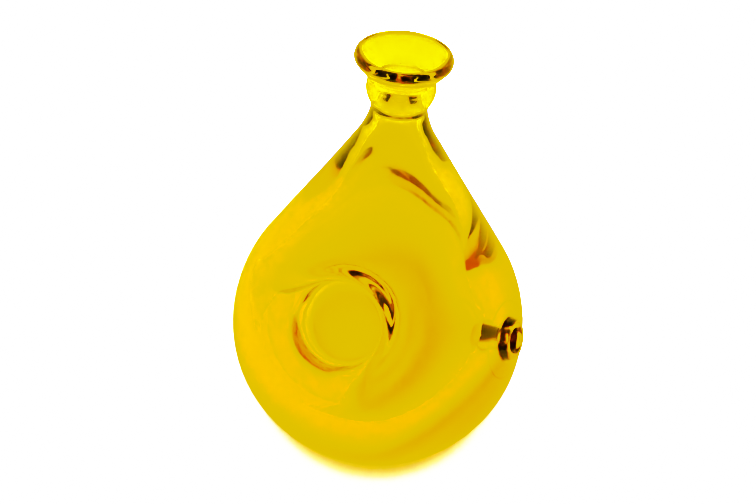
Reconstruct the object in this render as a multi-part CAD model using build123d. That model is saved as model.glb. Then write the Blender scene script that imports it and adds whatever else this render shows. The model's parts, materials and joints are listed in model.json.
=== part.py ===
"""Heavy blown-glass flask: a pear bulb lying on a ground flat, its neck rising at an angle.

The flask is one wall of glass, worked from separate gathers that are fused while hot.
Each gather is its own solid here, and neighbours meet face to face where the glass was fused:

  bulb           the hollow pear, with its ground flat, the seat for the well and the port's bore
  well_cup       the round well let into the top of the bulb
  neck_bead      the pinched waist of the neck and the bulge above it
  mouth_funnel   the trumpet that opens the neck
  lip_ring       the thick lip rolled on the trumpet's edge
  port_collar    the gather laid on the bulb's side, with the fire-polished ring round the port

Millimetres. The origin is the centre of the ground flat, on the surface that the flask stands on.
+Z is up, and the neck leans over +Y, so +X is to the right when the mouth points away.
"""

from build123d import *
import os
from math import asin, cos, radians, sin, sqrt

# ---- Bulb ----------------------------------------------------------------------------------
BULB_RADIUS = 32.5  # outside of the round part
FOOT_DEPTH = 2.0  # how much of the round is ground away to make the flat
NECK_RISE = 50.0  # degrees that the neck's axis rises from level
SHOULDER_HALF_ANGLE = 32.0  # degrees, of the cone that runs from the bulb up to the neck
CAVITY_RADIUS = 24.1  # the hollow was blown off-centre, so the wall is uneven
CAVITY_SHIFT = (-1.9, 2.4, -2.2)  # from the bulb's centre to the hollow's centre

# ---- Neck ----------------------------------------------------------------------------------
WAIST_RADIUS = 6.6  # outside of the pinched waist, where bulb and neck are fused
WAIST_FILLET = 9.7  # radius of the hollow curve from the shoulder into the waist
WAIST_BORE = 4.0  # radius of the way through the waist
BEAD_RADIUS = 7.7  # outside of the bulge above the waist
BEAD_HEIGHT = 8.9  # from the waist to the mouth's underside
BEAD_TOP_RADIUS = 7.4  # outside, where the mouth's underside begins
NECK_BORE = 5.0  # radius of the straight bore that takes a stopper
BORE_STEP_HEIGHT = 2.2  # from the waist to where the straight bore begins

# ---- Mouth ---------------------------------------------------------------------------------
MOUTH_HEIGHT = 5.9  # from the top of the bead to the top of the lip
LIP_RADIUS = 10.9  # outside of the lip at its widest
LIP_THICKNESS = 1.5  # of the lip at its top edge
LIP_SEAM_HEIGHT = 2.75  # from the top of the bead to where the lip was rolled on the trumpet
WIDEST_BELOW_TOP = 1.6  # from the top of the lip down to where it is widest
UNDERSIDE_BULGE = 0.75  # how round the lip's underside is: 0.5 is straight, 1 is square

# ---- Well ----------------------------------------------------------------------------------
WELL_RADIUS = 9.6  # inside
WELL_DEPTH = 14.0  # from the round of the bulb to the well's floor
WELL_WALL = 2.6
WELL_FLOOR_ROUND = 6.0  # radius of the curve from floor to side
WELL_SHOULDER = 4.0  # radius of the soft edge where the bulb turns into the well
WELL_TILT = 27.6  # degrees that the well's axis leans from upright
WELL_HEADING = -124.7  # degrees from +X towards +Y that it leans to

# ---- Side port -----------------------------------------------------------------------------
PORT_BORE = 2.4  # radius
PORT_COLLAR_RADIUS = 4.6  # outside
PORT_COLLAR_PROUD = 1.6  # how far the collar stands off the bulb
PORT_GATHER_RADIUS = 8.5  # of the glass laid on the bulb's side to make the collar
PORT_RISE = 21.0  # degrees that the port's axis rises from level
PORT_HEADING = -8.8  # degrees from +X towards +Y

# ---- Worked out from the above ---------------------------------------------------------------
CENTRE = Vector(0, 0, BULB_RADIUS - FOOT_DEPTH)
THETA = radians(SHOULDER_HALF_ANGLE)
APEX = BULB_RADIUS / sin(THETA)  # the shoulder cone's point, along the neck's axis
WAIST_AT = APEX - (WAIST_RADIUS * cos(THETA) - WAIST_FILLET * (1 - cos(THETA))) / sin(THETA)
BEAD_TOP = WAIST_AT + BEAD_HEIGHT
LIP_SEAM = BEAD_TOP + LIP_SEAM_HEIGHT
LIP_TOP = BEAD_TOP + MOUTH_HEIGHT
PORT_SEAT = sqrt(BULB_RADIUS**2 - PORT_GATHER_RADIUS**2)  # from the bulb's centre to the collar's seat
FLOOR_AT = BULB_RADIUS - WELL_DEPTH  # height of the well's floor above the bulb's centre
FAR = 2 * BULB_RADIUS  # past the outside of everything


def direction(rise, heading):
    """The unit vector at that rise above level and that heading from +X towards +Y."""
    level = cos(radians(rise))
    return Vector(level * cos(radians(heading)), level * sin(radians(heading)), sin(radians(rise)))


NECK_AXIS = direction(NECK_RISE, 90)
WELL_AXIS = direction(90 - WELL_TILT, WELL_HEADING)
PORT_AXIS = direction(PORT_RISE, PORT_HEADING)


def turned(outline, axis, start=CENTRE):
    """The solid that a closed outline in X and Z makes when it is turned about Z and stood on axis."""
    solid = revolve(Plane.XZ * make_face(outline), Axis.Z)
    return Plane(origin=start, z_dir=axis).location * solid


def rod(radius, low, high, axis, start=CENTRE):
    """A round bar about axis, from low to high along it."""
    bar = Cylinder(radius, high - low, align=(Align.CENTER, Align.CENTER, Align.MIN))
    return Plane(origin=start + axis * low, z_dir=axis).location * bar


def pear():
    """The outside of the bulb, solid: a ball, the cone that touches it, and the curve into the waist."""
    touch = (BULB_RADIUS * cos(THETA), BULB_RADIUS * sin(THETA))
    curve_start = (WAIST_RADIUS + WAIST_FILLET * (1 - cos(THETA)), WAIST_AT - WAIST_FILLET * sin(THETA))
    half = THETA / 2
    curve_middle = (WAIST_RADIUS + WAIST_FILLET * (1 - cos(half)), WAIST_AT - WAIST_FILLET * sin(half))
    outline = [
        ThreePointArc((0, -BULB_RADIUS), (BULB_RADIUS, 0), touch),
        Line(touch, curve_start),
        ThreePointArc(curve_start, curve_middle, (WAIST_RADIUS, WAIST_AT)),
        Line((WAIST_RADIUS, WAIST_AT), (0, WAIST_AT)),
        Line((0, WAIST_AT), (0, -BULB_RADIUS)),
    ]
    whole = turned(outline, NECK_AXIS)
    ground_off = Pos(0, 0, -FAR) * Box(2 * FAR, 2 * FAR, 2 * FAR)
    return whole - ground_off


def cavity():
    """The hollow in the bulb: a ball off-centre, and a cone that touches it and runs to the waist's bore."""
    middle = CENTRE + Vector(*CAVITY_SHIFT)
    waist = CENTRE + NECK_AXIS * WAIST_AT
    reach = (waist - middle).length
    lean = asin((CAVITY_RADIUS - WAIST_BORE) / reach)
    low, high = CAVITY_RADIUS * sin(lean), reach + WAIST_BORE * sin(lean)
    outline = [
        Line((0, low), (CAVITY_RADIUS * cos(lean), low)),
        Line((CAVITY_RADIUS * cos(lean), low), (WAIST_BORE * cos(lean), high)),
        Line((WAIST_BORE * cos(lean), high), (0, high)),
        Line((0, high), (0, low)),
    ]
    cone = turned(outline, (waist - middle).normalized(), middle)
    throat = rod(WAIST_BORE, WAIST_AT - WAIST_FILLET, WAIST_AT + 1, NECK_AXIS)
    return Pos(middle) * Sphere(CAVITY_RADIUS) + cone + throat


def well_outline(radius, floor, floor_round, top):
    """Half of an upright cup's section, from the middle of its floor to its axis again at top."""
    corner = floor_round * (1 - sqrt(0.5))
    return [
        Line((0, floor), (radius - floor_round, floor)),
        ThreePointArc(
            (radius - floor_round, floor),
            (radius - corner, floor + corner),
            (radius, floor + floor_round),
        ),
        Line((radius, floor + floor_round), (radius, top)),
        Line((radius, top), (0, top)),
        Line((0, top), (0, floor)),
    ]


def well_space():
    """The open space of the well, from its floor out past the bulb, with the soft shoulder round its edge."""
    spread = WELL_RADIUS + WELL_SHOULDER
    level = sqrt((BULB_RADIUS - WELL_SHOULDER) ** 2 - spread**2)
    lean = asin(spread / (BULB_RADIUS - WELL_SHOULDER))
    edge = (BULB_RADIUS * sin(lean), BULB_RADIUS * cos(lean))
    turn = radians(90) - lean
    middle = (spread - WELL_SHOULDER * cos(turn / 2), level + WELL_SHOULDER * sin(turn / 2))
    outside = (FAR * sin(lean), FAR * cos(lean))
    shoulder = [
        Line((0, level), (WELL_RADIUS, level)),
        ThreePointArc((WELL_RADIUS, level), middle, edge),
        Line(edge, outside),
        Line(outside, (0, outside[1])),
        Line((0, outside[1]), (0, level)),
    ]
    hollow = well_outline(WELL_RADIUS, FLOOR_AT, WELL_FLOOR_ROUND, max(level, FLOOR_AT + 2 * WELL_FLOOR_ROUND))
    return turned(shoulder, WELL_AXIS) + turned(hollow, WELL_AXIS)


def well_body():
    """The cup's outside, solid, from under its floor out past the bulb."""
    outline = well_outline(
        WELL_RADIUS + WELL_WALL,
        FLOOR_AT - WELL_WALL,
        WELL_FLOOR_ROUND + WELL_WALL,
        FAR,
    )
    return turned(outline, WELL_AXIS)


def bulb():
    """The pear, hollowed, with seats for the well and the port's collar, and the port's bore."""
    port = rod(PORT_BORE, 0, FAR, PORT_AXIS) + rod(PORT_GATHER_RADIUS + 1, PORT_SEAT, FAR, PORT_AXIS)
    return pear() - cavity() - well_body() - well_space() - port


def well_cup():
    """The cup that is let into the bulb's top, trimmed to the bulb's outside and opened by the well."""
    return (well_body() & pear()) - well_space()


def neck_bead():
    """The neck from its waist up: a bulge outside, and a stepped bore inside."""
    middle = WAIST_AT + 0.56 * BEAD_HEIGHT
    step = WAIST_AT + BORE_STEP_HEIGHT
    outline = [
        Line((WAIST_BORE, WAIST_AT), (WAIST_RADIUS, WAIST_AT)),
        ThreePointArc((WAIST_RADIUS, WAIST_AT), (BEAD_RADIUS, middle), (BEAD_TOP_RADIUS, BEAD_TOP)),
        Line((BEAD_TOP_RADIUS, BEAD_TOP), (NECK_BORE, BEAD_TOP)),
        Line((NECK_BORE, BEAD_TOP), (NECK_BORE, step)),
        Line((NECK_BORE, step), (WAIST_BORE, WAIST_AT)),
    ]
    return turned(outline, NECK_AXIS)


def mouth_solid():
    """Funnel and lip together: the trumpet inside, a round top edge, and an underside that flares out."""
    edge, edge_height = LIP_RADIUS - LIP_THICKNESS, LIP_TOP - LIP_THICKNESS / 2
    bore, foot = (NECK_BORE, BEAD_TOP), (BEAD_TOP_RADIUS, BEAD_TOP)
    widest = (LIP_RADIUS, LIP_TOP - WIDEST_BELOW_TOP)
    crest = (LIP_RADIUS - LIP_THICKNESS / 2, LIP_TOP)
    under = (
        foot[0] + UNDERSIDE_BULGE * (widest[0] - foot[0]),
        foot[1] + (1 - UNDERSIDE_BULGE) * (widest[1] - foot[1]) + 0.5,
    )
    dish = (bore[0] + 0.40 * (edge - bore[0]), bore[1] + 0.58 * (edge_height - bore[1]))
    outline = [
        Line(bore, foot),
        Spline(foot, under, widest, crest, (edge, edge_height), tangents=[(1, 0.45), (-0.25, -1)]),
        Spline((edge, edge_height), dish, bore, tangents=[(-0.25, -1), (0, -1)]),
    ]
    return turned(outline, NECK_AXIS)


def mouth_funnel():
    """The mouth up to the seam with its lip."""
    return mouth_solid() & rod(FAR, BEAD_TOP - 1, LIP_SEAM, NECK_AXIS)


def lip_ring():
    """The mouth from that seam up."""
    return mouth_solid() - rod(FAR, BEAD_TOP - 1, LIP_SEAM, NECK_AXIS)


def port_collar():
    """The cap of glass beyond the seat and the round-edged ring on it, with the port's bore through both."""
    top = BULB_RADIUS + PORT_COLLAR_PROUD
    half = (PORT_COLLAR_RADIUS - PORT_BORE) / 2
    outline = [
        Line((PORT_BORE, PORT_SEAT), (PORT_COLLAR_RADIUS, PORT_SEAT)),
        Line((PORT_COLLAR_RADIUS, PORT_SEAT), (PORT_COLLAR_RADIUS, top - half)),
        ThreePointArc((PORT_COLLAR_RADIUS, top - half), (PORT_BORE + half, top), (PORT_BORE, top - half)),
        Line((PORT_BORE, top - half), (PORT_BORE, PORT_SEAT)),
    ]
    cap = pear() & rod(PORT_GATHER_RADIUS + 1, PORT_SEAT, FAR, PORT_AXIS)
    return (cap + turned(outline, PORT_AXIS)) - rod(PORT_BORE, 0, FAR, PORT_AXIS)


PIECES = {
    "bulb": bulb,
    "well_cup": well_cup,
    "neck_bead": neck_bead,
    "mouth_funnel": mouth_funnel,
    "lip_ring": lip_ring,
    "port_collar": port_collar,
}

os.makedirs("parts", exist_ok=True)
for name, make in PIECES.items():
    export_step(make(), f"parts/{name}.step")
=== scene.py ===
"""Amber blown-glass flask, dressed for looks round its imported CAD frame.

The real flask is one wall of glass fused from gathers. Each gather is its own closed piece here, and the
glass runs on from one to the next with nothing to be seen at the seam.
"""

import json

import bpy
import numpy as np
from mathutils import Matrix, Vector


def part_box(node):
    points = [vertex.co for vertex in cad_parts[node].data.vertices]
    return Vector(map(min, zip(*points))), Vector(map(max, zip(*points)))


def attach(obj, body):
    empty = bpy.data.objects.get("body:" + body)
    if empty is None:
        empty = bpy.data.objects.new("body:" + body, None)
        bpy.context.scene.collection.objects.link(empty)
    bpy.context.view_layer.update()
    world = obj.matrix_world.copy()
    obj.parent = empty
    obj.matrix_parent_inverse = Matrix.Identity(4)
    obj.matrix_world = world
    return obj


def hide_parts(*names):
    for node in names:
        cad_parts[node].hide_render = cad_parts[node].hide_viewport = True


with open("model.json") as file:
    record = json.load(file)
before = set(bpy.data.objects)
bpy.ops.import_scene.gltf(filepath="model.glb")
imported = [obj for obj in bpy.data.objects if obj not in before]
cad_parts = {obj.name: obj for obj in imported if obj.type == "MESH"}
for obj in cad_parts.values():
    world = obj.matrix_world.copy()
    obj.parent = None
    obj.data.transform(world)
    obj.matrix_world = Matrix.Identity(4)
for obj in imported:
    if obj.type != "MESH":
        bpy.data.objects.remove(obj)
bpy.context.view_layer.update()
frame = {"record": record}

# ---- Camera --------------------------------------------------------------------------------------
# A long lens looks steeply down on the flask, which lies on its ground flat with its neck rising away
# from the camera.
CAMERA_HEADING = 7.6  # degrees, round from straight in front towards +X
CAMERA_ELEVATION = 70.0  # degrees above level
CAMERA_DISTANCE = 1.0  # metres from the flask
FRAMED_WIDTH = 0.1695  # metres across the picture, at the flask
RAISED = 0.01525  # metres that the picture's middle lies above the bulb's

mounts = {mount["name"]: mount for mount in frame["record"]["mounts"]}
neck_axis = np.array(mounts["neck_bore"]["axis"], float)
port_axis = np.array(mounts["port_bore"]["axis"], float)
on_neck = np.array(mounts["neck_bore"]["pos_m"], float)
bulb_low, bulb_high = (np.array(corner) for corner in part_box("bulb"))
bulb_middle = on_neck - neck_axis * on_neck[1] / neck_axis[1]

heading, elevation = np.radians([CAMERA_HEADING, CAMERA_ELEVATION])
back = np.array([np.sin(heading) * np.cos(elevation), -np.cos(heading) * np.cos(elevation), np.sin(elevation)])
across = np.array([np.cos(heading), np.sin(heading), 0.0])
upward = np.cross(back, across)

camera = bpy.data.objects.new("camera", bpy.data.cameras.new("camera"))
camera.location = bulb_middle + upward * RAISED + back * CAMERA_DISTANCE
camera.rotation_euler = (np.pi / 2 - elevation, 0.0, heading)
camera.data.sensor_width = 36.0
camera.data.lens = camera.data.sensor_width * CAMERA_DISTANCE / FRAMED_WIDTH
bpy.context.collection.objects.link(camera)
bpy.context.scene.camera = camera

# ---- Bulb ----------------------------------------------------------------------------------------
# The first and largest gather: a thick pear blown by mouth with no mould, so its hollow lies off-centre
# and its wall is uneven. A flat is ground underneath, and the port is pierced through its side.
MM = 0.001
BULB_RADIUS = (bulb_high[0] - bulb_low[0]) / 2 / MM
SHOULDER_SINE = 0.5299  # of the half angle of the cone from bulb to neck
SKIN_WAVES = (43.0, 0.10, 1.1)  # the same for the outside
SHOULDER_END = 50.0  # mm along the neck's axis to where the cone rounds off
NECK_CORE = 5.9  # mm, radius of the glass that runs up through the waist
HOLLOW_RADIUS = 24.1
HOLLOW_SHIFT = across * -1.6 + upward * 1.7 - back * 3.0  # from the bulb's middle to the hollow's
HOLLOW_TIP = 50.0  # mm along the neck's axis to where the hollow narrows to the waist's bore
HOLLOW_BEND, BEND_AT, BEND_REACH = 1.7, 26.0, 12.0  # mm: how far the hollow bends aside, where, over what
HOLLOW_WAVES = (31.0, 0.15, 0.4)  # size and depth in mm of its unevenness, and where the waves begin
WAIST_BORE = 4.0
WAIST = 53.5  # mm along the neck's axis to the waist
THICK_SIDE = across * 0.66 - upward * 0.70 - back * 0.27  # the side where the glass pooled
THICK_REACH = 19.6  # mm from the bulb's middle to the hollow's flattened side


def lengths(vectors):
    """The length of each row."""
    return np.sqrt(np.einsum("...i,...i->...", vectors, vectors))


def along_and_off(places, axis):
    """How far each place lies along a unit axis through the bulb's middle, and how far off it."""
    along = places @ axis
    return along, lengths(places - along[..., None] * axis)


def joined(a, b, soft):
    """The union of two distance fields, with a fillet about as wide as soft where they meet."""
    near = np.maximum(soft - np.abs(a - b), 0.0) / soft
    return np.minimum(a, b) - near * near * soft / 4


def without(a, b, soft):
    """Field a with field b cut out of it, with a rounded edge about as wide as soft."""
    return -joined(-a, b, soft)


def round_cone(off, along, low_radius, high_radius, length):
    """Distance to two balls on an axis and the cone that touches both, measured in the axis's own plane."""
    lean = (low_radius - high_radius) / length
    side = np.sqrt(1 - lean * lean)
    place = along * side - off * lean
    flank = off * side + along * lean - low_radius
    low_ball = np.hypot(off, along) - low_radius
    high_ball = np.hypot(off, along - length) - high_radius
    return np.where(place < 0, low_ball, np.where(place > side * length, high_ball, flank))


def waves(places, size, depth, turn):
    """Slow unevenness of hand-blown glass: three crossed sine waves, of the given size and depth in mm."""
    x, y, z = np.moveaxis(places * (2 * np.pi / size), -1, 0)
    first = np.sin(x + 0.7 * y + turn) * np.cos(0.8 * z - 0.5 * x + 2 * turn)
    second = np.sin(1.3 * y - 0.9 * z + 3 * turn) * np.cos(0.6 * x + 1.1 * z)
    third = np.sin(0.5 * x - 1.2 * y + 0.4 * z + 5 * turn)
    return depth * (first + second + 0.7 * third) / 2


def hollow_field(places):
    """Distance to the blown hollow: a ball off the bulb's middle, drawn out in a slightly bent cone to the
    waist, flat on one side. The bend is a bell curve along the neck's axis."""
    rise = (places @ neck_axis - BEND_AT) / BEND_REACH
    bent = places - across * (HOLLOW_BEND * np.exp(-(rise**2)))[..., None]
    reach = np.linalg.norm(neck_axis * HOLLOW_TIP - HOLLOW_SHIFT)
    axis = (neck_axis * HOLLOW_TIP - HOLLOW_SHIFT) / reach
    along, off = along_and_off(bent - HOLLOW_SHIFT, axis)
    cone = round_cone(off, along, HOLLOW_RADIUS, WAIST_BORE, reach)
    pooled = bent @ THICK_SIDE - THICK_REACH
    return without(cone, -pooled, 5.0) + waves(places, *HOLLOW_WAVES)


# ---- Well cup ------------------------------------------------------------------------------------
# A round cup, pressed with a graphite former into the soft top of the bulb, so that the bulb's outside
# turns down into it over a soft shoulder.
well_axis = back - across * 0.22 - upward * 0.06
well_axis /= np.linalg.norm(well_axis)
WELL_MIDDLE = across * -8.2 - upward * 0.5 + back * 25.0  # a point on the well's axis
WELL_RADIUS = 9.6
WELL_FLOOR = 18.5  # mm along the axis from the bulb's middle
WELL_FLOOR_ROUND = 5.5
WELL_WALL = 2.8
WELL_LOW = across * -0.85 - upward * 0.53  # the side where the cup opens over a wide, soft shoulder
WELL_SHOULDER, WELL_SOFT = 3.0, 7.0  # mm: the shoulder's roundness, and how much more it is on that side
WELL_SEAM = 13.4  # mm off the well's axis to the seam with the bulb


def from_well(places):
    """How far each place lies along the well's axis, counted from the bulb's middle, and how far off it."""
    return along_and_off(places - WELL_MIDDLE + well_axis * (WELL_MIDDLE @ well_axis), well_axis)


def well_field(places):
    """Distance to the well's open space: a cylinder with a round-edged floor, open outwards."""
    along, off = from_well(places)
    beyond = off - (WELL_RADIUS - WELL_FLOOR_ROUND)
    below = WELL_FLOOR + WELL_FLOOR_ROUND - along
    corner = np.hypot(np.maximum(beyond, 0), np.maximum(below, 0)) - WELL_FLOOR_ROUND
    return corner + np.minimum(np.maximum(beyond, below), 0)


def well_shoulder(places):
    """How round the well's edge is at each place, eased from one side of the well to the other."""
    ease = np.clip(((places - WELL_MIDDLE) @ WELL_LOW + 3.0) / 11.0, 0, 1)
    return WELL_SHOULDER + WELL_SOFT * ease * ease * (3 - 2 * ease)


# ---- Neck bead, mouth funnel and lip ring --------------------------------------------------------
# The neck is pinched at the waist with jacks, swells to a bead above it, and opens in a trumpet whose
# edge is rolled outwards to a thick fire-polished lip.
BEAD_MIDDLE, BEAD_RADIUS, BEAD_HALF = 59.4, 7.7, 6.2
BEAD_TOP = 62.45
LIP_LOW, LIP_LOW_ROUND = (6.45, 62.9), 1.45  # section of the lip: off and along the neck's axis
LIP_HIGH, LIP_HIGH_ROUND = (9.2, 66.6), 1.7
LIP_SEAM = 65.2
NECK_BORE = mounts["neck_bore"]["dims"]["r_mm"]
FLARE_HEIGHT, FLARE_WIDTH = 6.6, 3.9  # mm: the trumpet's rise, and how far it opens beyond the neck's bore


def lip_section(off, along):
    """Distance, in the axis's plane, to the lip: two circles and the straight flanks that touch both."""
    run = np.subtract(LIP_HIGH, LIP_LOW)
    length = np.hypot(*run)
    run = run / length
    ahead = (off - LIP_LOW[0]) * run[0] + (along - LIP_LOW[1]) * run[1]
    aside = np.abs((off - LIP_LOW[0]) * run[1] - (along - LIP_LOW[1]) * run[0])
    return round_cone(aside, ahead, LIP_LOW_ROUND, LIP_HIGH_ROUND + 1e-6, length)


def outside_field(places):
    """Distance to the flask's outside, as if it were solid."""
    along, off = along_and_off(places, neck_axis)
    end_radius = BULB_RADIUS - SHOULDER_END * SHOULDER_SINE
    pear = round_cone(off, along, BULB_RADIUS, end_radius, SHOULDER_END) + waves(places, *SKIN_WAVES)
    core = np.maximum(off - NECK_CORE, np.abs(along - BEAD_TOP + 8) - 8)
    bead_off, bead_along = off / BEAD_RADIUS, (along - BEAD_MIDDLE) / BEAD_HALF
    size = np.hypot(bead_off, bead_along)
    bead = size * (size - 1) / np.maximum(np.hypot(bead_off / BEAD_RADIUS, bead_along / BEAD_HALF), 1e-6)
    mouth = np.minimum(lip_section(off, along), np.maximum(off - 7.0, np.abs(along - 64.0) - 3.0))
    neck = joined(joined(core, bead, 1.5), mouth, 0.9)
    return joined(pear, neck, 3.2)


def throat_field(places):
    """Distance to the way through the neck: the waist's bore, a straight bore and the trumpet."""
    along, off = along_and_off(places, neck_axis)
    step = np.clip((along - WAIST) / 3.0, 0, 1)
    flare = np.clip((along - BEAD_TOP + 1.5) / FLARE_HEIGHT, 0, 1.3)
    radius = WAIST_BORE + (NECK_BORE - WAIST_BORE) * step * step * (3 - 2 * step) + FLARE_WIDTH * flare**2
    slope = 1 / np.sqrt(1 + (2 * FLARE_WIDTH * flare / FLARE_HEIGHT) ** 2)
    return np.maximum((off - radius) * slope, HOLLOW_TIP - 6 - along)


# ---- Port collar ---------------------------------------------------------------------------------
# A ring of glass laid on the bulb's side, pierced hot and fire-polished round.
PORT_BORE = mounts["port_bore"]["dims"]["r_mm"]
COLLAR_MIDDLE, COLLAR_RADIUS, COLLAR_ROUND = 32.75, 3.55, 1.28
PORT_SEAM = 31.3


def skin_field(places):
    """Distance to the flask's skin, as if it had no hollow: the outside less the well, with the collar."""
    along, off = along_and_off(places, port_axis)
    collar = np.hypot(off - COLLAR_RADIUS, along - COLLAR_MIDDLE) - COLLAR_ROUND
    dented = without(outside_field(places), well_field(places), well_shoulder(places))
    return joined(dented, collar, 1.0)


# ---- Wall of glass, cut into its pieces -------------------------------------------------------------
# The gathers are fused into one wall while hot. The wall's surface is found once for each gather and
# cut at its seams, where two pieces lie face to face.
def flask_field(places):
    """Distance to the wall of glass: the skin, less the hollow, the throat, the port and the ground flat."""
    along, off = along_and_off(places, port_axis)
    bore = np.maximum(off - PORT_BORE, HOLLOW_RADIUS - 5 - along)
    hollow = without(hollow_field(places), well_field(places) - WELL_WALL, 2.4)
    empty = joined(hollow, throat_field(places), 1.6)
    solid = without(skin_field(places), joined(empty, bore, 1.4), 0.9)
    flat = places[..., 2] + bulb_middle[2] / MM
    return without(solid, flat, 0.7)


def slopes(field, places):
    """The field's gradient at each place, by central differences."""
    reach = 0.02
    steps = reach * np.eye(3)
    return np.stack([(field(places + s) - field(places - s)) / (2 * reach) for s in steps], -1)


def net(field, low, high, step):
    """The surface where a field is zero: a net with one vertex in each grid cell that the surface crosses,
    and one four-sided face round each grid edge that it cuts. The vertices are then drawn onto the
    surface along the field's slope. Returns places and triangles, facing outwards."""
    axes = [np.arange(a, b + step, step) for a, b in zip(low, high)]
    grid = np.stack(np.meshgrid(*axes, indexing="ij"), -1)
    values = field(grid)
    inside = values < 0
    cells = tuple(n - 1 for n in values.shape)
    corners = [(i, j, k) for i in (0, 1) for j in (0, 1) for k in (0, 1)]

    def corner(array, at):
        return array[tuple(slice(a, a + n) for a, n in zip(at, cells))]

    count = sum(corner(inside, at).astype(np.int8) for at in corners)
    live = np.flatnonzero(((count > 0) & (count < 8)).ravel())
    number = np.full(np.prod(cells), -1)
    number[live] = np.arange(live.size)
    base = np.stack(np.unravel_index(live, cells), -1)
    total, hits = np.zeros((live.size, 3)), np.zeros(live.size)
    for axis in range(3):
        for at in corners:
            if at[axis]:
                continue
            end = tuple(1 if n == axis else at[n] for n in range(3))
            a, b = corner(values, at).ravel()[live], corner(values, end).ravel()[live]
            cut = (a < 0) != (b < 0)
            share = np.where(cut, a / np.where(cut, a - b, 1.0), 0.0)
            place = np.array(at, float) + share[:, None] * np.eye(3)[axis]
            total += np.where(cut[:, None], place, 0.0)
            hits += cut
    places = np.array([a[0] for a in axes]) + step * (base + total / hits[:, None])
    number = number.reshape(cells)
    quads = []
    for axis in range(3):
        first, second = [n for n in range(3) if n != axis]
        window = [slice(1, -1)] * 3
        window[axis] = slice(0, -1)
        ahead = list(window)
        ahead[axis] = slice(1, None)
        a, b = inside[tuple(window)], inside[tuple(ahead)]
        at = np.stack(np.nonzero(a != b), -1) + np.array([0 if n == axis else 1 for n in range(3)])
        leaves = a[a != b]
        one, two = np.eye(3, dtype=int)[first], np.eye(3, dtype=int)[second]
        ring = np.stack([number[tuple((at - shift).T)] for shift in (0 * one, one, one + two, two)], -1)
        flip = leaves == (axis == 1)
        ring[flip] = ring[flip][:, ::-1]
        quads.append(ring)
    quads = np.concatenate(quads)
    for _ in range(3):
        slope = slopes(field, places)
        move = field(places)[:, None] * slope / np.maximum((slope**2).sum(-1), 0.05)[:, None]
        places = places - np.clip(move, -step / 2, step / 2)
    one_way = lengths(places[quads[:, 0]] - places[quads[:, 2]])
    other_way = lengths(places[quads[:, 1]] - places[quads[:, 3]])
    short = one_way < other_way
    turned = np.where(short[:, None], quads, np.roll(quads, 1, axis=1))
    return places, np.concatenate([turned[:, [0, 1, 2]], turned[:, [0, 2, 3]]])


def trimmed(places, faces, side):
    """The part of a net where side is negative. Edges that cross zero get a vertex there, shared by the
    faces on both sides of them. Returns places, triangles and the numbers of the new vertices."""
    kept = side < 0
    held = kept[faces].sum(1)
    mixed = faces[(held > 0) & (held < 3)]
    lone = kept[mixed] == (kept[mixed].sum(1) == 1)[:, None]
    turn = (np.argmax(lone, axis=1)[:, None] + np.arange(3)) % 3
    mixed = np.take_along_axis(mixed, turn, axis=1)
    edges = np.concatenate([mixed[:, [0, 1]], mixed[:, [0, 2]]])
    pairs, where = np.unique(np.sort(edges, axis=1), axis=0, return_inverse=True)
    a, b = side[pairs[:, 0]], side[pairs[:, 1]]
    fresh = places[pairs[:, 0]] + (a / (a - b))[:, None] * (places[pairs[:, 1]] - places[pairs[:, 0]])
    where = where.ravel() + len(places)
    one, two = where[: len(mixed)], where[len(mixed) :]
    single = kept[mixed[:, 0]]
    tips = np.stack([mixed[:, 0], one, two], -1)[single]
    first = np.stack([one, mixed[:, 1], mixed[:, 2]], -1)[~single]
    second = np.stack([one, mixed[:, 2], two], -1)[~single]
    faces = np.concatenate([faces[held == 3], tips, first, second])
    places = np.concatenate([places, fresh])
    used, faces = np.unique(faces, return_inverse=True)
    return places[used], faces.reshape(-1, 3), np.flatnonzero(used >= len(side))


def seam_faces(places, loop, axis):
    """Triangles that close a ring-shaped seam between its two edges, matched by their angle about an axis.
    The outer edge lies on the flask's skin, and the inner one a wall's thickness under it."""
    guide = np.eye(3)[np.argmin(np.abs(axis))]
    one = np.cross(axis, guide)
    one /= np.linalg.norm(one)
    two = np.cross(axis, one)
    angle = np.arctan2(places[loop] @ two, places[loop] @ one)
    depth = skin_field(places[loop])
    outer = depth > (depth.min() + depth.max()) / 2
    rings = []
    for chosen in (outer, ~outer):
        order = np.argsort(angle[chosen])
        rings.append((loop[chosen][order], angle[chosen][order]))
    faces = []
    for (near, near_angle), (far, far_angle) in (rings, rings[::-1]):
        is_outer = near is rings[0][0]
        follow = np.searchsorted(far_angle, np.roll(near_angle, -1), side="left" if is_outer else "right")
        tip = far[(follow - 1) % len(far)]
        face = np.stack([near, np.roll(near, -1), tip], -1)
        faces.append(face if is_outer else face[:, [1, 0, 2]])
    return np.concatenate(faces)


def region(name):
    """A field that is negative where the glass belongs to the named piece, in mm from its seams."""

    def side(places):
        along, off = along_and_off(places, neck_axis)
        port_along, port_off = along_and_off(places, port_axis)
        well_along, well_off = from_well(places)
        cup = np.maximum(well_off - WELL_SEAM, 5.0 - well_along)
        collar = np.maximum(PORT_SEAM - port_along, port_off - 12.0)
        return {
            "bulb": np.maximum(np.maximum(-cup, -collar), along - WAIST),
            "well_cup": cup,
            "neck_bead": np.maximum(WAIST - along, along - BEAD_TOP),
            "mouth_funnel": np.maximum(BEAD_TOP - along, along - LIP_SEAM),
            "lip_ring": LIP_SEAM - along,
            "port_collar": collar,
        }[name]

    return side


SEAM_GAP = 0.01  # mm between two pieces at a seam, too thin to be seen
seams = {  # each seam's axis and how far along it the seam lies; the well's is a cylinder round its axis
    "waist": (neck_axis, WAIST),
    "bead": (neck_axis, BEAD_TOP),
    "lip": (neck_axis, LIP_SEAM),
    "port": (port_axis, PORT_SEAM),
    "well": (well_axis, None),
}


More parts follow.
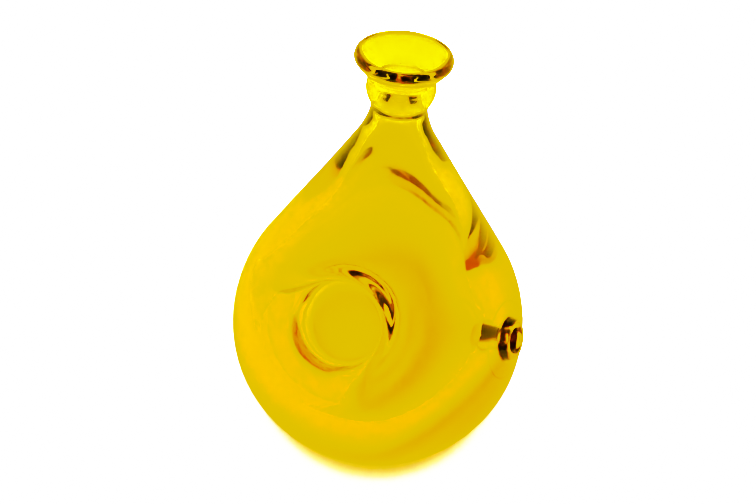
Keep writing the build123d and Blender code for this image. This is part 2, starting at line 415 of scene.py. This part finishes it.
def on_seam(name, places):
    """Which of the places lie on the named seam."""
    axis, height = seams[name]
    along, off = from_well(places) if height is None else along_and_off(places, axis)
    if height is None:
        return (np.abs(off - WELL_SEAM) < 0.05) & (along > 5)
    return (np.abs(along - height) < 0.05) & (off < 14)


def piece_mesh(name, step, margin=5.0):
    """The named piece of the wall as a closed mesh: its part of the net, closed at its seams. The skin takes
    its normals from the field's slope, so that it shades as one surface with its neighbours."""
    low, high = ((np.array(corner) - bulb_middle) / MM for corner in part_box(name))
    places, faces = net(flask_field, low - margin, high + margin, step)
    places, faces, fresh = trimmed(places, faces, region(name)(places) + SEAM_GAP)
    closing = []
    for seam, (axis, height) in seams.items():
        loop = fresh[on_seam(seam, places[fresh])]
        if not len(loop):
            continue
        ring = seam_faces(places, loop, axis)
        middle = places[ring].mean(1)
        normal = np.cross(places[ring[:, 1]] - places[ring[:, 0]], places[ring[:, 2]] - places[ring[:, 0]])
        outward = slopes(region(name), middle)
        wrong = (normal * outward).sum(-1) < 0
        ring[wrong] = ring[wrong][:, ::-1]
        closing.append(ring)
    skin = len(faces)
    faces = np.concatenate([faces] + closing)
    mesh = bpy.data.meshes.new(name)
    mesh.from_pydata([], [], [])
    mesh.vertices.add(len(places))
    mesh.vertices.foreach_set("co", (places * MM + bulb_middle).astype(np.float32).ravel())
    mesh.loops.add(faces.size)
    mesh.loops.foreach_set("vertex_index", faces.ravel().astype(np.int32))
    mesh.polygons.add(len(faces))
    mesh.polygons.foreach_set("loop_start", np.arange(0, faces.size, 3, dtype=np.int32))
    mesh.update(calc_edges=True)
    fused = mesh.attributes.new("fused", "FLOAT", "FACE")
    fused.data.foreach_set("value", (np.arange(len(faces)) >= skin).astype(np.float32))
    slope = slopes(flask_field, places)
    slope /= lengths(slope)[:, None]
    normals = slope[faces]
    flat = np.cross(places[faces[:, 1]] - places[faces[:, 0]], places[faces[:, 2]] - places[faces[:, 0]])
    flat /= np.maximum(lengths(flat), 1e-9)[:, None]
    normals[skin:] = flat[skin:, None, :]
    mesh.polygons.foreach_set("use_smooth", np.ones(len(faces), bool))
    mesh.normals_split_custom_set(normals.reshape(-1, 3))
    piece = bpy.data.objects.new(name + "_glass", mesh)
    bpy.context.collection.objects.link(piece)
    return piece


def linear(code):
    """An sRGB hex colour as linear red, green, blue and an alpha of 1."""
    parts = np.array([int(code[n : n + 2], 16) for n in (1, 3, 5)]) / 255
    return tuple(np.where(parts > 0.04045, ((parts + 0.055) / 1.055) ** 2.4, parts / 12.92)) + (1.0,)


def node(tree, kind, settings=None, links=None, **inputs):
    """Add a node, set its own settings and its inputs' values, and link the inputs named in links."""
    made = tree.nodes.new(kind)
    for key, value in (settings or {}).items():
        setattr(made, key, value)
    for key, value in inputs.items():
        made.inputs[key.replace("_", " ")].default_value = value
    for key, source in (links or {}).items():
        tree.links.new(source, made.inputs[key])
    return made


# ---- Glass ---------------------------------------------------------------------------------------
# Soda-lime glass coloured amber in the melt, mouth-blown and flame-polished: it is clear and mirror-smooth,
# and it takes out blue at once and green slowly, so that it turns from yellow to orange to near-black
# with the thickness that light goes through.
GLASS_IOR = 1.51
KEPT_PER_MM = np.array([0.983, 0.969, 0.30])  # share of red, green and blue light left after 1 mm


def amber_glass():
    """Clear glass with absorption inside it, and no refraction on the faces where two gathers are fused."""
    material = bpy.data.materials.new("mouth_blown_amber_soda_lime_glass")
    material.use_nodes = True
    tree = material.node_tree
    tree.nodes.clear()
    fused = node(tree, "ShaderNodeAttribute", {"attribute_name": "fused"})
    ior = node(
        tree, "ShaderNodeMapRange", None, {"Value": fused.outputs["Fac"]}, To_Min=GLASS_IOR, To_Max=1.0
    )
    place = node(tree, "ShaderNodeTexCoord")
    cords = node(
        tree,
        "ShaderNodeTexNoise",
        None,
        {"Vector": place.outputs["Object"]},
        Scale=140.0,
        Detail=2.0,
        Roughness=0.4,
    )
    bump = node(tree, "ShaderNodeBump", None, {"Height": cords.outputs["Fac"]}, Strength=0.06, Distance=0.0006)
    shader = node(
        tree,
        "ShaderNodeBsdfPrincipled",
        None,
        {"IOR": ior.outputs["Result"], "Normal": bump.outputs["Normal"]},
        Base_Color=linear("#FFFFFF"),
        Roughness=0.0,
        IOR=GLASS_IOR,
        Transmission_Weight=1.0,
    )
    loss = -np.log(KEPT_PER_MM) / MM
    density = loss.max()
    tint = tuple(1 - loss / density) + (1.0,)
    volume = node(tree, "ShaderNodeVolumeAbsorption", None, None, Color=tint, Density=density)
    node(tree, "ShaderNodeOutputMaterial", None, {"Surface": shader.outputs[0], "Volume": volume.outputs[0]})
    return material


glass = amber_glass()
for name, step in {
    "bulb": 0.8,
    "well_cup": 0.5,
    "neck_bead": 0.4,
    "mouth_funnel": 0.35,
    "lip_ring": 0.35,
    "port_collar": 0.35,
}.items():
    piece = piece_mesh(name, step)
    piece.data.materials.append(glass)
    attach(piece, "root")
    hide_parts(name)

# ---- Table, backdrop and light -------------------------------------------------------------------
# A white sheet lies on a table under one broad lamp. The glass is shown white walls low down all round and
# a dark room above them. The sheet and what is behind it are overexposed to plain white.
SHEET_RADIUS = 0.30  # metres
BANK_LIGHT = 25.0
ROOM_LIGHT = 0.9
WHITE_OUT = 2.5  # brightness of the backdrop, past what the exposure shows as white
EXPOSED_WHITE = 2.4  # brightness at the top of the response curve


def disc(name, radius, height, inner=0.0, turns=96):
    """A flat ring or disc, facing up."""
    angle = np.linspace(0, 2 * np.pi, turns, endpoint=False)
    ring = np.stack([np.cos(angle), np.sin(angle), 0 * angle], -1)
    places = np.concatenate([ring * radius, ring * inner]) + [0, 0, height]
    near = np.arange(turns)
    faces = np.stack([near, (near + 1) % turns, (near + 1) % turns + turns, near + turns], -1)
    mesh = bpy.data.meshes.new(name)
    if inner == 0:
        places, faces = places[:turns], near[None]
    mesh.from_pydata(places.tolist(), [], faces.tolist())
    made = bpy.data.objects.new(name, mesh)
    bpy.context.collection.objects.link(made)
    return made


sheet = disc("white_sheet", SHEET_RADIUS, -0.00003)
paper = bpy.data.materials.new("white_paper")
paper.use_nodes = True
paper_look = paper.node_tree.nodes["Principled BSDF"].inputs
paper_look["Base Color"].default_value = linear("#F6F6F6")
paper_look["Roughness"].default_value = 0.9
paper_look["Specular IOR Level"].default_value = 0.0
sheet.data.materials.append(paper)

surround = disc("backdrop_floor", 6.0, -0.0001, SHEET_RADIUS)
white = bpy.data.materials.new("overexposed_white_backdrop")
white.use_nodes = True
white.node_tree.nodes.clear()
glow = node(white.node_tree, "ShaderNodeEmission", None, None, Color=linear("#FFFFFF"), Strength=WHITE_OUT)
node(white.node_tree, "ShaderNodeOutputMaterial", None, {"Surface": glow.outputs[0]})
surround.data.materials.append(white)
for ray in ("diffuse", "glossy", "transmission", "volume_scatter", "shadow"):
    setattr(surround, "visible_" + ray, False)

world = bpy.data.worlds.new("studio")
bpy.context.scene.world = world
world.use_nodes = True
sky = world.node_tree
sky.nodes.clear()
where = node(sky, "ShaderNodeTexCoord")
parts = node(sky, "ShaderNodeSeparateXYZ", None, {"Vector": where.outputs["Generated"]})


def bands(stops):
    """Grey levels by the sine of the height above level: a colour ramp over -1 to 1."""
    height = node(sky, "ShaderNodeMapRange", None, {"Value": parts.outputs["Z"]}, From_Min=-1.0, From_Max=1.0)
    ramp = node(sky, "ShaderNodeValToRGB", None, {"Fac": height.outputs["Result"]})
    while len(ramp.color_ramp.elements) < len(stops):
        ramp.color_ramp.elements.new(0.5)
    for element, (sine, level) in zip(ramp.color_ramp.elements, stops.items()):
        element.position = (sine + 1) / 2
        element.color = (level, level, level, 1.0)
    return ramp.outputs["Color"]


# What lights the sheet: one broad lamp straight overhead. It reaches the sheet under the flask only
# through the glass, which colours it.
bank = node(
    sky,
    "ShaderNodeBackground",
    None,
    {"Color": bands({-1: 0.0, 0.84: 0.0, 0.92: 1.0, 1: 1.0})},
    Strength=BANK_LIGHT,
)
# What the glass shows: white walls low down all round, and a dark room above them.
room = node(
    sky,
    "ShaderNodeBackground",
    None,
    {"Color": bands({-1: 1.0, 0.12: 1.0, 0.22: 0.08, 0.95: 0.04, 1: 0.04})},
    Strength=ROOM_LIGHT,
)
plain = node(sky, "ShaderNodeBackground", None, None, Color=linear("#FFFFFF"), Strength=WHITE_OUT)
path = node(sky, "ShaderNodeLightPath")
sheet_lit = node(sky, "ShaderNodeMath", {"operation": "GREATER_THAN"}, {0: path.outputs["Diffuse Depth"]})
sheet_lit.inputs[1].default_value = 0.5
seen = node(sky, "ShaderNodeMixShader", None, {0: sheet_lit.outputs[0], 1: room.outputs[0], 2: bank.outputs[0]})
direct = path.outputs["Is Camera Ray"]
both = node(sky, "ShaderNodeMixShader", None, {0: direct, 1: seen.outputs[0], 2: plain.outputs[0]})
node(sky, "ShaderNodeOutputWorld", None, {"Surface": both.outputs[0]})

scene = bpy.context.scene
scene.view_settings.view_transform = "Standard"
scene.view_settings.use_curve_mapping = True
# A bright studio exposure: the sheet runs over to white, and the glass keeps an even, rich colour.
# Each row is the response in red, green or blue, as points of brightness in and out.
response = scene.view_settings.curve_mapping
response.extend = "HORIZONTAL"
response.white_level = (EXPOSED_WHITE,) * 3
for curve, points in zip(
    response.curves,
    (
        ((0.04, 0.10), (0.12, 0.50), (0.24, 0.70), (0.76, 0.80), (0.90, 0.95)),
        ((0.05, 0.08), (0.11, 0.30), (0.22, 0.47), (0.72, 0.61), (0.88, 0.92)),
        ((0.20, 0.0), (0.45, 0.005), (0.62, 0.20), (0.76, 0.78), (0.86, 0.98)),
    ),
):
    for x, y in points:
        curve.points.new(x, y)
    for point in curve.points:
        point.handle_type = "AUTO_CLAMPED"
response.update()
scene.cycles.max_bounces = 32
scene.cycles.transmission_bounces = 32
scene.cycles.glossy_bounces = 16
scene.cycles.diffuse_bounces = 4
scene.cycles.caustics_refractive = True
scene.cycles.caustics_reflective = True
scene.cycles.sample_clamp_indirect = 6.0
scene.cycles.blur_glossy = 0.0
